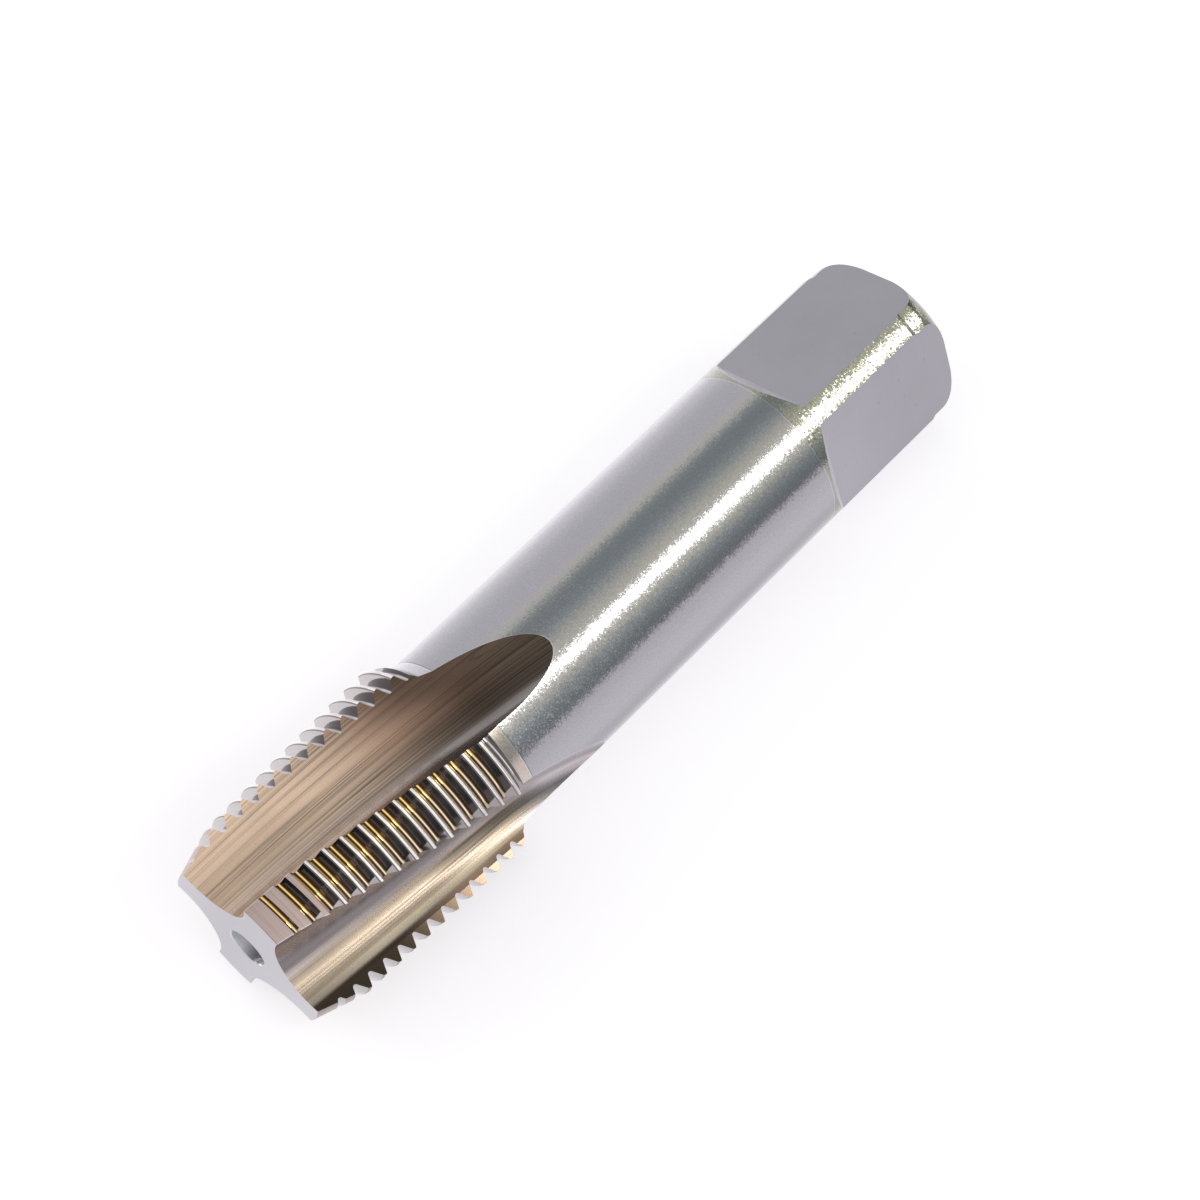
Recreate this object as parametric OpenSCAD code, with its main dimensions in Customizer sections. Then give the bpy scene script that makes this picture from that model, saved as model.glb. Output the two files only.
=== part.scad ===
// Taper pipe thread tap with helical flutes and a square drive end, lying on its side.
// The axis runs along X, from the middle of the front face to the rear end, and Z is up.
// Everything is shaped about an upright axis first, with the front face at the bottom, and is
// laid over at the end. A turn of 0 points straight down there, and a turn of 90 along Y.

/* [Body] */
// Length from the front face to the rear end
tap_length = 87; // [80:1:110]
// Diameter of the plain shank
shank_d = 18; // [16:0.1:18.4]
// Turn of the whole tap about its axis, so that it lies on two lands and the shank
lie_turn = 3.1; // [0:0.1:10]

/* [Thread] */
// Diameter over the crests at the large end of the thread
thread_d = 21.3; // [20.8:0.1:22]
// Length from the front face to the large end of the thread
thread_length = 24.8; // [20:0.1:27]
// Threads to the inch
threads_per_inch = 14; // [13:1:16]
// Taper of the thread on its diameter, as 1 in this many
thread_taper = 16; // [12:1:32]
// Angle between the two flanks of a groove
flank_angle = 55; // [50:1:60]
// Turn of the thread about the axis
thread_turn = -85; // [-180:1:180]

/* [Lead] */
// Diameter of the front face
front_d = 16.9; // [15:0.1:17.5]
// Length of the chamfer that leads the teeth in
lead_length = 5; // [3:0.1:7]

/* [Neck] */
// How far the foot of the chamfer behind the thread stands above the shank
neck_step = 0.25; // [0.15:0.05:0.4]
// Slope of that chamfer, against the axis
back_angle = 47; // [30:1:60]
// Slope of the cone from the chamfer's foot down to the shank, against the axis
neck_angle = 12; // [8:0.5:20]

/* [Flutes] */
// Number of flutes
flutes = 4; // [3:1:4]
// Diameter of the core between the flutes at the front face
core_d = 9.9; // [8:0.1:10.5]
// Radius of the round bottom of a flute
bottom_r = 6.2; // [5.6:0.1:6.6]
// Turn from a cutting edge back to the deepest line of its flute at the front face
bottom_turn = 29.5; // [27:0.5:31]
// Length in which a flute would wind once around the axis
flute_lead = 390; // [250:10:900]
// Rise of the flute's bottom along the tap, as 1 in this many
core_taper = 16; // [12:1:30]
// Turn from a cutting edge back to the line along which the flute rises
rise_turn = 10; // [5:1:15]
// Length from the front face to where the flutes begin to run out
flute_length = 23.7; // [18:0.1:26]
// Radius in which the flutes run out
runout_r = 41; // [30:1:50]

/* [Drive square] */
// Width of the square across its flats
square_w = 14.2; // [12:0.1:14.5]
// Length of the flats, from the foot of their shoulder to the rear end
square_length = 16.9; // [14:0.1:24]
// Slope of the shoulder, against the axis
shoulder_angle = 45; // [30:1:60]
// Turn of the square's first corner about the axis
square_turn = 26.8; // [0:0.1:90]

/* [Rear end] */
// How far the square's corners step in beside the rear end
end_step = 0.15; // [0.05:0.05:0.5]
// Length of that smaller stretch
end_length = 3.45; // [2.5:0.05:6]
// Length of the rounded edge
round_length = 2; // [1:0.1:2.2]
// Diameter of the rear face
rear_d = 14.7; // [14:0.1:15.5]

/* [Centre hole] */
// Diameter of the centre hole in the front face
hole_d = 4; // [3:0.1:6]
// Depth of the hole's straight wall
hole_depth = 5; // [3:0.1:12]
// Angle of the drill point at the hole's bottom
point_angle = 118; // [90:1:140]

/* [Hidden] */
$fn = 64;
steel = [0.64, 0.63, 0.65];

// How far a cut reaches past the faces that it opens
margin = 1;

// Pitch and groove of the thread, with equal rounding at crest and root
pitch = 25.4 / threads_per_inch;
sharp_depth = pitch / 2 / tan(flank_angle / 2);
groove_depth = sharp_depth * 2 / 3;
tooth_r = sharp_depth / 6 / (1 / sin(flank_angle / 2) - 1);
thread_steps = 2;
crest_edge = 20;

// A groove spans its land and ends inside the flutes beside it
groove_sweep = 2 / 3 * 360 / flutes;

// Radius over the crests, and the heights of the chamfer's foot and of the shank's beginning
function crest_r(z) = thread_d / 2 - (thread_length - z) / 2 / thread_taper;
foot_r = shank_d / 2 + neck_step;
foot_z = thread_length + (thread_d / 2 - foot_r) / tan(back_angle);
neck_z = foot_z + neck_step / tan(neck_angle);

// How far a flute has risen at a height, and the middle of its round bottom, seen from a
// cutting edge that points along X
function run(z) = max(0, z - flute_length);
function rise(z) = z / core_taper + runout_r - sqrt(runout_r ^ 2 - run(z) ^ 2);
function bottom(z) = (core_d / 2 + bottom_r) * [cos(bottom_turn), -sin(bottom_turn)]
    + rise(z) * [cos(rise_turn), -sin(rise_turn)];

// Angle of a flute at a height and radius, from its cutting edge back to the next heel
function flute_angle(z, r) =
    let (c = bottom(z), d = norm(c))
    acos((d ^ 2 + r ^ 2 - bottom_r ^ 2) / 2 / d / r) - atan2(c.y, c.x);

// Before the tap is turned to lie, the flute between its two lower lands looks straight down
// at the large end of the thread
flute_width = flute_angle(thread_length, thread_d / 2);
function edge_turn(z) = flute_width / 2 + (z - thread_length) * 360 / flute_lead;
land_turn = (360 / flutes - flute_width) / 2;

// Where the flutes' rings lie: evenly up to the run-out, then closer until they are clear
clear_run = sqrt(runout_r ^ 2 - (runout_r - (shank_d - core_d) / 2) ^ 2);
even_rings = 8;
runout_rings = 10;
ring_z = concat(
    [for (i = [0:even_rings]) -margin + (flute_length + margin) * i / even_rings],
    [for (i = [1:runout_rings]) flute_length + clear_run * i / runout_rings]
);

// One ring of a flute: a circle cut off straight along the radius of the cutting edge
round_sweep = 120;
round_steps = 13;
outer_steps = 4;
function flute_ring(z) =
    let (
        c = bottom(z),
        start = 180 - asin(min(1, -c.y / bottom_r)),
        outer_sweep = 540 - 2 * start - round_sweep,
        turns = concat(
            [for (i = [0:round_steps]) start + round_sweep * i / round_steps],
            [for (i = [1:outer_steps]) start + round_sweep + outer_sweep * i / outer_steps]
        ),
        e = edge_turn(z)
    )
    [for (t = turns)
        let (p = c + bottom_r * [cos(t), sin(t)])
        [p.x * cos(e) - p.y * sin(e), p.x * sin(e) + p.y * cos(e), z]];

// Turned blank: lead, taper thread, neck, shank and stepped rear end
module blank() {
    end_r = shank_d / 2 - end_step;
    drop = end_r - rear_d / 2;
    arc_r = (round_length ^ 2 + drop ^ 2) / 2 / drop;
    sweep = asin(round_length / arc_r);
    arc_steps = 4;
    rotate_extrude()
        polygon(concat(
            [
                [0, 0],
                [front_d / 2, 0],
                [crest_r(lead_length), lead_length],
                [thread_d / 2, thread_length],
                [foot_r, foot_z],
                [shank_d / 2, neck_z],
                [shank_d / 2, tap_length - end_length],
                [end_r, tap_length - end_length + end_step]
            ],
            [for (i = [0:arc_steps])
                let (t = sweep * i / arc_steps)
                [end_r - arc_r * (1 - cos(t)), tap_length - round_length + arc_r * sin(t)]],
            [[0, tap_length]]
        ));
}

// Half of the groove's outline, from the middle of its root to its mouth
function groove_half() =
    let (lean = 90 - flank_angle / 2)
    concat(
        [for (i = [0:thread_steps])
            let (t = lean * i / thread_steps)
            tooth_r * [1 - cos(t), sin(t)]],
        [for (i = [0:thread_steps])
            let (t = lean + (crest_edge - lean) * i / thread_steps)
            [groove_depth - tooth_r * (1 - cos(t)), pitch / 2 - tooth_r * sin(t)]],
        [[groove_depth * 2, pitch / 2 - tooth_r * sin(crest_edge)]]
    );

// One groove across one land, leaning with the thread
module groove(root_r) {
    half = groove_half();
    other_half = [for (i = [len(half) - 1:-1:1]) [half[i].x, -half[i].y]];
    lean = atan(pitch / PI / thread_d);
    rotate([lean, 0, 0])
        rotate_extrude(angle = groove_sweep, start = -groove_sweep / 2)
            translate([root_r, 0])
                polygon(concat(other_half, half));
}

// All grooves of one land, where the winding thread crosses it. The land winds the same way,
// so along it they are a little more than a pitch apart
module land_grooves(land) {
    foot_turn = edge_turn(0) + land_turn + land * 360 / flutes;
    spacing = pitch / (1 - pitch / flute_lead);
    last_z = spacing * (thread_length / pitch + (foot_turn + thread_turn) / 360);
    for (i = [0:floor(last_z / spacing)]) {
        z = last_z - i * spacing;
        translate([0, 0, z])
            rotate(foot_turn + z * 360 / flute_lead)
                groove(crest_r(z) - groove_depth);
    }
}

// Space of one flute, wound along the tap
module flute() {
    points = [for (z = ring_z) each flute_ring(z)];
    n = round_steps + outer_steps + 1;
    last = len(ring_z) - 1;
    sides = [for (k = [0:last - 1], i = [0:n - 1])
        let (
            a = k * n + i,
            b = k * n + (i + 1) % n
        )
        each [[a, a + n, b + n], [a, b + n, b]]];
    polyhedron(
        points = points,
        faces = concat(
            [[for (i = [0:n - 1]) i]],
            sides,
            [[for (i = [n - 1:-1:0]) last * n + i]]
        )
    );
}

// Space beside one flat of the square, with its sloping shoulder
module square_side() {
    flat_r = square_w / 2;
    flat_z = tap_length - square_length;
    reach = shank_d / 2;
    rotate([90, 0, 0])
        linear_extrude(2 * shank_d, center = true)
            polygon([
                [flat_r, flat_z],
                [flat_r, tap_length + margin],
                [flat_r + reach, tap_length + margin],
                [flat_r + reach, flat_z - reach / tan(shoulder_angle)]
            ]);
}

// Blind centre hole with the mark of the drill at its bottom
module centre_hole() {
    tip = hole_d / 2 / tan(point_angle / 2);
    translate([0, 0, -margin])
        cylinder(d = hole_d, h = hole_depth + margin);
    translate([0, 0, hole_depth])
        cylinder(d1 = hole_d, d2 = 0, h = tip);
}

module tap() {
    color(steel)
        rotate([0, 90, 0])
            rotate(lie_turn)
                difference() {
                    blank();
                    for (i = [0:flutes - 1]) {
                        land_grooves(i);
                        rotate(i * 360 / flutes)
                            flute();
                    }
                    for (i = [0:3])
                        rotate(square_turn + 45 + i * 90)
                            square_side();
                    centre_hole();
                }
}

tap();
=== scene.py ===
"""Looks of a taper pipe thread tap, built around its packed solid.

The tap is one piece of ground high-speed steel. It is shaped here again with a winding
thread and smooth flutes, one finish to each kind of surface, and lies on a pale floor.
"""

import math

import bmesh
import bpy
import numpy as np
from mathutils import Matrix, Vector


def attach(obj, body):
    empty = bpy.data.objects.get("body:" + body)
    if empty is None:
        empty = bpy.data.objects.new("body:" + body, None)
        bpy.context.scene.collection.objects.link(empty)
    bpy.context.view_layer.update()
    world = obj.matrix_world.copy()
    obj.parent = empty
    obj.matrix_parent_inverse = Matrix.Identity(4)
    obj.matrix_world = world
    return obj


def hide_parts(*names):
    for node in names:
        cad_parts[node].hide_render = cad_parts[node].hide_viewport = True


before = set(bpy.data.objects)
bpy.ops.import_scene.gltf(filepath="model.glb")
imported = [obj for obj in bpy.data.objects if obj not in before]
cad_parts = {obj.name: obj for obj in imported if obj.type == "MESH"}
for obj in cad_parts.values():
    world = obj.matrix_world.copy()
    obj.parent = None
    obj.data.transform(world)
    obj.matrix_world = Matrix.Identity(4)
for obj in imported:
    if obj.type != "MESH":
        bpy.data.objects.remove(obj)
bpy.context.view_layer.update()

bl_info = {
    "name": "Thread tap",
    "version": (1, 0, 0),
    "blender": (4, 5, 0),
    "location": "3D View > Sidebar > Tap",
    "description": "Builds a taper pipe thread tap with helical flutes and its studio",
    "category": "Object",
}

MM, MICROMETRE = 0.001, 0.000001
INCH = 25.4

# Share of the turn from edge to edge that is counted as lying before a cutting edge
FLUTE_SHARE = 0.97

# Kinds of surface, in the order of the shaping slots
FRONT, LEAD, CREST, GROOVE, CHAMFER, NECK, SHANK, END_BAND, END_ROUND = range(9)
REAR, FLAT, SHOULDER, GULLET, CUTTING, HOLE, HOLE_RIM = range(9, 16)
SURFACE_KINDS = 16
TURNED_KINDS = (LEAD, CREST, CHAMFER, NECK, SHANK, END_BAND, HOLE, HOLE_RIM)


def setting(kind, scale=None, **fixed):
    """Makes settings of one kind, each from its name, description and default."""

    def make(name, description, value):
        default = value if scale is None else value * scale
        return kind(name=name, description=description, default=default, **fixed)

    return make


# Lengths take their default in millimetres and angles in degrees
a_length = setting(bpy.props.FloatProperty, MM, unit="LENGTH", min=0.0, precision=5)
an_angle = setting(bpy.props.FloatProperty, math.radians(1), unit="ROTATION", subtype="ANGLE")
a_number = setting(bpy.props.FloatProperty)
a_power = setting(bpy.props.FloatProperty, unit="POWER")
a_lens = setting(bpy.props.FloatProperty, unit="CAMERA")
a_count = setting(bpy.props.IntProperty, min=2)
a_color = setting(bpy.props.FloatVectorProperty, size=3, min=0.0, max=1.0, subtype="COLOR")
a_place = setting(bpy.props.FloatVectorProperty, size=3, unit="LENGTH", subtype="TRANSLATION")


class TapSizes(bpy.types.PropertyGroup):
    """Sizes of the tap, the same as those of the solid."""

    tap_length: a_length("Length", "From the front face to the rear end", 87.0)
    shank_d: a_length("Shank", "Diameter of the plain shank", 18.0)
    lie_turn: an_angle("Lie", "Turn of the whole tap, so that it lies steady", 3.1)
    thread_d: a_length("Thread", "Diameter over the crests at the large end", 21.3)
    thread_length: a_length("Thread length", "From the front face to the large end", 24.8)
    threads_per_inch: a_count("Threads to the inch", "Threads along one inch", 14)
    thread_taper: a_number("Thread taper", "Taper on the diameter, as 1 in this many", 16.0)
    flank_angle: an_angle("Flank angle", "Between the two flanks of a groove", 55.0)
    thread_turn: an_angle("Thread turn", "Turn of the thread about the axis", -85.0)
    front_d: a_length("Front", "Diameter of the front face", 16.9)
    lead_length: a_length("Lead", "Length of the chamfer at the front", 5.0)
    neck_step: a_length("Neck step", "Height of the chamfer's foot above the shank", 0.25)
    back_angle: an_angle("Back slope", "Slope of the chamfer behind the thread", 47.0)
    neck_angle: an_angle("Neck slope", "Slope of the cone down to the shank", 12.0)
    flutes: a_count("Flutes", "Number of flutes", 4)
    core_d: a_length("Core", "Diameter between the flutes at the front face", 9.9)
    bottom_r: a_length("Flute radius", "Radius of the round bottom of a flute", 6.2)
    bottom_turn: an_angle("Bottom turn", "From a cutting edge to the deepest line", 29.5)
    hook_r: a_length("Hook", "Radius between a flute's round and its cutting face", 4.2)
    flute_lead: a_length("Flute lead", "Length in which a flute winds once around", 390.0)
    core_taper: a_number("Core taper", "Rise of the flute's bottom, as 1 in this many", 16.0)
    rise_turn: an_angle("Rise turn", "From a cutting edge to the line of the rise", 10.0)
    flute_length: a_length("Flute length", "To where the flutes begin to run out", 23.7)
    runout_r: a_length("Run-out", "Radius in which the flutes run out", 41.0)
    ground_length: a_length("Ground length", "To the end of the ground shank", 67.9)
    square_w: a_length("Square", "Width of the square across its flats", 14.2)
    square_length: a_length("Square length", "Length of the flats", 16.9)
    shoulder_angle: an_angle("Shoulder", "Slope of the shoulder against the axis", 45.0)
    square_turn: an_angle("Square turn", "Turn of the square's first corner", 26.8)
    end_step: a_length("End step", "How far the corners step in at the end", 0.15)
    end_length: a_length("End length", "Length of that smaller stretch", 3.45)
    round_length: a_length("End rounding", "Length of the rounded edge", 2.0)
    rear_d: a_length("Rear", "Diameter of the rear face", 14.7)
    hole_d: a_length("Hole", "Diameter of the centre hole", 4.0)
    hole_depth: a_length("Hole depth", "Depth of the hole's straight wall", 5.0)
    point_angle: an_angle("Drill point", "Angle of the hole's bottom", 118.0)


class TapFinish(bpy.types.PropertyGroup):
    """Colours of the steel's finishes, among them painted highlights along edges and a painted
    golden reflection in the thread's root.
    """

    shank_color: a_color("Shank", "Satin ground steel", (0.60, 0.59, 0.62))
    band_color: a_color("Unground band", "Steel beyond the ground shank", (0.55, 0.545, 0.49))
    flat_color: a_color("Flats", "Matt flats and end faces", (0.575, 0.565, 0.61))
    front_color: a_color("Front face", "Finely ground front face", (0.71, 0.70, 0.73))
    gullet_color: a_color("Flutes", "Khaki tint of the ground flutes", (0.66, 0.535, 0.445))
    gullet_dark: a_color("Flute lines", "Grinding lines of the flutes", (0.22, 0.175, 0.13))
    gullet_red: a_color("Flute heel", "Tint beside the heel of a land", (0.66, 0.49, 0.36))
    shoulder_color: a_color("Shoulders", "Sloping ends of the flats", (1.0, 0.98, 1.0))
    crest_color: a_color("Crests", "Tan tint of the chamfered crests", (0.48, 0.38, 0.345))
    groove_color: a_color("Thread flanks", "Flanks of the thread", (0.56, 0.53, 0.52))
    # Gold in the thread's root is a painted reflection of the light
    root_color: a_color("Thread root", "Gold tint in the thread's root", (0.98, 0.72, 0.30))
    hole_color: a_color("Hole", "Wall of the centre hole", (0.88, 0.89, 0.95))
    # Bright line along edges: a painted highlight where light catches an edge, with some wear
    edge_color: a_color("Worn edges", "Bright line along an edge", (0.86, 0.85, 0.86))


class StageSettings(bpy.types.PropertyGroup):
    """Floor, light and camera."""

    floor_color: a_color("Floor", "Colour of the floor", (0.76, 0.756, 0.764))
    light_color: a_color("Light", "Colour of the soft light", (1.0, 0.99, 0.975))
    key_power: a_power("Key", "Power of the long soft light", 0.55)
    fill_power: a_power("Fill", "Power of the light on the other side", 0.3)
    lens: a_lens("Lens", "Focal length of the camera", 99.96)
    camera_place: a_place("Camera", "Place of the camera", (-0.0685, -0.11976, 0.25451))
    camera_aim: a_place("Aim", "Point in the middle of the view", (0.0461, 0.00065, 0.0))
    camera_roll: an_angle("Roll", "Roll of the camera", -5.3)


class TapShape:
    """The tap's form about an upright axis in millimetres, front face down, as in its solid."""

    def __init__(self, sizes):
        for name in TapSizes.__annotations__:
            value = getattr(sizes, name)
            if TapSizes.__annotations__[name].keywords.get("unit") == "LENGTH":
                value /= MM
            setattr(self, name, value)
        self.pitch = INCH / self.threads_per_inch
        half_angle = self.flank_angle / 2
        sharp_depth = self.pitch / 2 / math.tan(half_angle)
        self.groove_depth = sharp_depth * 2 / 3
        self.tooth_r = sharp_depth / 6 / (1 / math.sin(half_angle) - 1)
        self.flank_lean = math.pi / 2 - half_angle
        self.foot_r = self.shank_d / 2 + self.neck_step
        back_drop = self.thread_d / 2 - self.foot_r
        self.foot_z = self.thread_length + back_drop / math.tan(self.back_angle)
        self.neck_z = self.foot_z + self.neck_step / math.tan(self.neck_angle)
        self.wind = 2 * math.pi / self.flute_lead
        self.land_step = 2 * math.pi / self.flutes
        flute_width = self.flute_angle(self.thread_length, self.thread_d / 2)
        self.edge_start = flute_width / 2 - self.thread_length * self.wind
        flute_depth = (self.shank_d - self.core_d) / 2
        self.clear_run = math.sqrt(self.runout_r**2 - (self.runout_r - flute_depth) ** 2)
        self.end_r = self.shank_d / 2 - self.end_step
        end_drop = self.end_r - self.rear_d / 2
        self.end_arc_r = (self.round_length**2 + end_drop**2) / 2 / end_drop

    def crest_r(self, z):
        """Radius over the crests at a height."""
        return self.thread_d / 2 - (self.thread_length - z) / 2 / self.thread_taper

    def rise(self, z):
        """How far a flute has risen at a height."""
        run = np.clip(z - self.flute_length, 0.0, self.runout_r * 0.99)
        return z / self.core_taper + self.runout_r - np.sqrt(self.runout_r**2 - run**2)

    def bottom(self, z, rise=None):
        """Middle of a flute's round bottom, seen from a cutting edge that points along X."""
        reach = self.core_d / 2 + self.bottom_r
        up = self.rise(z) if rise is None else rise
        return (
            up * math.cos(self.rise_turn) + reach * math.cos(self.bottom_turn),
            up * -math.sin(self.rise_turn) - reach * math.sin(self.bottom_turn),
        )

    def hook(self, z):
        """Middle of the hook, the smaller round that joins the flute's round to its flat."""
        cx, cy = self.bottom(z)
        reach = (self.bottom_r - self.hook_r) ** 2 - (cy + self.hook_r) ** 2
        return cx - math.sqrt(max(reach, 0.0)), -self.hook_r

    def flute_angle(self, z, r):
        """Angle of a flute at a height and radius, from its cutting edge to the next heel."""
        cx, cy = self.bottom(z)
        d = math.hypot(cx, cy)
        spread = math.acos((d**2 + r**2 - self.bottom_r**2) / 2 / d / r)
        return spread - math.atan2(cy, cx)

    def edge_turn(self, z):
        """Turn of the first cutting edge at a height."""
        return self.edge_start + z * self.wind


def laid_over(points, shape):
    """Points or directions about the upright axis, laid over into the row frame."""
    x, y, z = points.T
    c, s = math.cos(shape.lie_turn), math.sin(shape.lie_turn)
    turned_x, turned_y = x * c - y * s, x * s + y * c
    return np.stack([z, turned_y, -turned_x], 1)


def spun(points, turn):
    """A list of points, turned about the upright axis."""
    c, s = math.cos(turn), math.sin(turn)
    return [(x * c - y * s, x * s + y * c, z) for x, y, z in points]


def add_object(name, data):
    """A new object in the scene."""
    made = bpy.data.objects.new(name, data)
    bpy.context.scene.collection.objects.link(made)
    return made


def read(items, name, width=1, kind=np.int32):
    """One property of all points, corners or faces of a mesh."""
    found = np.zeros(len(items) * width, kind)
    items.foreach_get(name, found)
    return found.reshape(-1, width) if width > 1 else found


def edit(mesh, operation, **settings):
    """Runs an operation on all faces of a mesh."""
    work = bmesh.new()
    work.from_mesh(mesh)
    operation(work, faces=work.faces, **settings)
    work.to_mesh(mesh)
    work.free()


def shaping_slot(kind):
    """A bare material that marks a kind of surface while the form is cut."""
    name = f"shaping_{kind:02d}"
    return bpy.data.materials.get(name) or bpy.data.materials.new(name)


def form(name, rings, kinds):
    """An object with a closed form through rings of points, where a pole is a ring of one.

    Each stretch between two rings has one kind of surface, or one for each of its sides. An
    end without a pole is closed by a face of the first kind.
    """
    points, numbers, faces, face_kinds = [], [], [], []
    for ring in rings:
        numbers.append(range(len(points), len(points) + len(ring)))
        points += ring
    for low, high, kind in zip(numbers, numbers[1:], kinds):
        for i in range(max(len(low), len(high))):
            j = i + 1
            corners = (
                low[i % len(low)], low[j % len(low)], high[j % len(high)], high[i % len(high)]
            )
            faces.append(list(dict.fromkeys(corners)))
            face_kinds.append(kind if isinstance(kind, int) else kind[i])
    for end in (numbers[0], numbers[-1]):
        if len(end) > 1:
            faces.append(list(end))
            face_kinds.append(face_kinds[0])
    mesh = bpy.data.meshes.new(name)
    mesh.from_pydata(points, [], faces)
    mesh.polygons.foreach_set("material_index", face_kinds)
    mesh.validate()
    edit(mesh, bmesh.ops.recalc_face_normals)
    for kind in range(SURFACE_KINDS):
        mesh.materials.append(shaping_slot(kind))
    return add_object(name, mesh)


def turned(name, outline, kinds, steps):
    """A turned form: an outline of (radius, height) points from axis to axis."""
    turns = [2 * math.pi * i / steps for i in range(steps)]
    rings = [
        [(r * math.cos(t), r * math.sin(t), z) for t in turns] if r else [(0.0, 0.0, z)]
        for r, z in outline
    ]
    return form(name, rings, kinds)


def blank(shape):
    """Turned blank: lead, taper thread, neck, shank and stepped rear end."""
    rim = 0.05
    arc_steps, turn_steps = 14, 384
    sweep = math.asin(shape.round_length / shape.end_arc_r)
    end_z = shape.tap_length - shape.end_length
    outline = [
        (0.0, 0.0),
        (shape.front_d / 2 - rim, 0.0),
        (shape.front_d / 2, rim),
        (shape.crest_r(shape.lead_length), shape.lead_length),
        (shape.thread_d / 2, shape.thread_length),
        (shape.foot_r, shape.foot_z),
        (shape.shank_d / 2, shape.neck_z),
        (shape.shank_d / 2, end_z - shape.end_step),
        (shape.end_r, end_z + shape.end_step * 2),
    ]
    kinds = [FRONT, LEAD, LEAD, CREST, CHAMFER, NECK, SHANK, END_BAND, END_BAND]
    for i in range(arc_steps + 1):
        t = sweep * i / arc_steps
        outline.append((
            shape.end_r - shape.end_arc_r * (1 - math.cos(t)),
            shape.tap_length - shape.round_length + shape.end_arc_r * math.sin(t),
        ))
    kinds += [END_ROUND] * arc_steps + [REAR]
    outline.append((0.0, shape.tap_length))
    return turned("tap_steel", outline, kinds, turn_steps)


def groove_half(shape):
    """Half of the groove's outline as (depth from the root, height), root to mouth."""
    root_steps, crest_steps = 6, 5
    crest_edge = math.radians(6)
    r, lean = shape.tooth_r, shape.flank_lean
    points = []
    for i in range(root_steps + 1):
        t = lean * i / root_steps
        points.append((r * (1 - math.cos(t)), r * math.sin(t)))
    depth, half_pitch = shape.groove_depth, shape.pitch / 2
    for i in range(crest_steps + 1):
        t = lean + (crest_edge - lean) * i / crest_steps
        points.append((depth - r * (1 - math.cos(t)), half_pitch - r * math.sin(t)))
    points.append((depth * 2, half_pitch - r * math.sin(crest_edge)))
    return points


def thread_cutter(shape):
    """The winding groove of the thread, from behind its large end to before the front face."""
    half = groove_half(shape)
    outline = [(u, -s) for u, s in reversed(half[1:])] + half
    steps = 120
    turns = (shape.thread_length + 3 * shape.pitch) / shape.pitch
    sections = []
    for i in range(int(turns * steps) + 1):
        turn = 2 * math.pi * (1 - i / steps)
        z = shape.thread_length + shape.pitch * (turn + shape.thread_turn) / 2 / math.pi
        root_r = shape.crest_r(z) - shape.groove_depth
        sections.append(spun([(root_r + u, 0.0, z + h) for u, h in outline], turn))
    return form("thread_groove", sections, [GROOVE] * len(sections))


def flute_cutter(shape, number):
    """The space of one flute, wound along the tap."""
    hook_steps, round_steps, outer_steps = 16, 36, 8
    even_rings, runout_rings = 56, 60
    round_end = math.radians(300)
    heights = list(np.linspace(-1.0, shape.flute_length, even_rings))
    heights += [
        shape.flute_length + shape.clear_run * (i + 1) / runout_rings for i in range(runout_rings)
    ]
    sections = []
    for z in heights:
        cx, cy = shape.bottom(z)
        hx, hy = shape.hook(z)
        start = math.atan2(hy - cy, hx - cx)
        outer = 2 * math.pi + math.asin(min(0.999, -cy / shape.bottom_r)) - round_end
        hook = [math.pi / 2 + (start - math.pi / 2) * i / hook_steps for i in range(hook_steps)]
        turns = [start + (round_end - start) * i / round_steps for i in range(round_steps + 1)]
        turns += [round_end + outer * (i + 1) / outer_steps for i in range(outer_steps)]
        section = [
            (x + r * math.cos(t), y + r * math.sin(t), z)
            for x, y, r, arc in ((hx, hy, shape.hook_r, hook), (cx, cy, shape.bottom_r, turns))
            for t in arc
        ]
        sections.append(spun(section, shape.edge_turn(z) + number * shape.land_step))
    sides = [GULLET] * (hook_steps + round_steps + outer_steps) + [CUTTING]
    return form(f"flute_{number}", sections, [sides] * len(sections))


def square_cutter(shape, number):
    """The space beside one flat of the square, with its sloping shoulder."""
    flat_r = shape.square_w / 2
    flat_z = shape.tap_length - shape.square_length
    reach = shape.shank_d / 2
    outline = [
        (flat_r, flat_z),
        (flat_r, shape.tap_length + 1),
        (flat_r + reach, shape.tap_length + 1),
        (flat_r + reach, flat_z - reach / math.tan(shape.shoulder_angle)),
    ]
    turn = shape.square_turn + math.pi / 4 + number * math.pi / 2
    sections = [
        spun([(x, side, z) for x, z in outline], turn) for side in (-shape.shank_d, shape.shank_d)
    ]
    return form(f"square_side_{number}", sections, [[FLAT, FLAT, FLAT, SHOULDER]])


def hole_cutter(shape):
    """The centre hole, with a broken edge at its mouth and the mark of the drill inside."""
    r = shape.hole_d / 2
    rim = 0.08
    outline = [
        (0.0, -1.0),
        (r + rim + 1.0, -1.0),
        (r + rim, 0.0),
        (r, rim),
        (r, shape.hole_depth),
        (0.0, shape.hole_depth + r / math.tan(shape.point_angle / 2)),
    ]
    return turned("hole", outline, [HOLE_RIM, HOLE_RIM, HOLE_RIM, HOLE, HOLE], steps=96)


def cut_away(body, cutters):
    """Cuts the cutters from the body, deletes them and gives the body its new mesh."""
    for cutter in cutters:
        cut = body.modifiers.new("cut", "BOOLEAN")
        cut.operation = "DIFFERENCE"
        cut.solver = "MANIFOLD"
        cut.object = cutter
    bpy.context.view_layer.update()
    graph = bpy.context.evaluated_depsgraph_get()
    mesh = bpy.data.meshes.new_from_object(body.evaluated_get(graph))
    body.modifiers.clear()
    used = [body.data] + [cutter.data for cutter in cutters]
    body.data = mesh
    for cutter in cutters:
        bpy.data.objects.remove(cutter)
    for old in used:
        bpy.data.meshes.remove(old)
    return mesh


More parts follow.
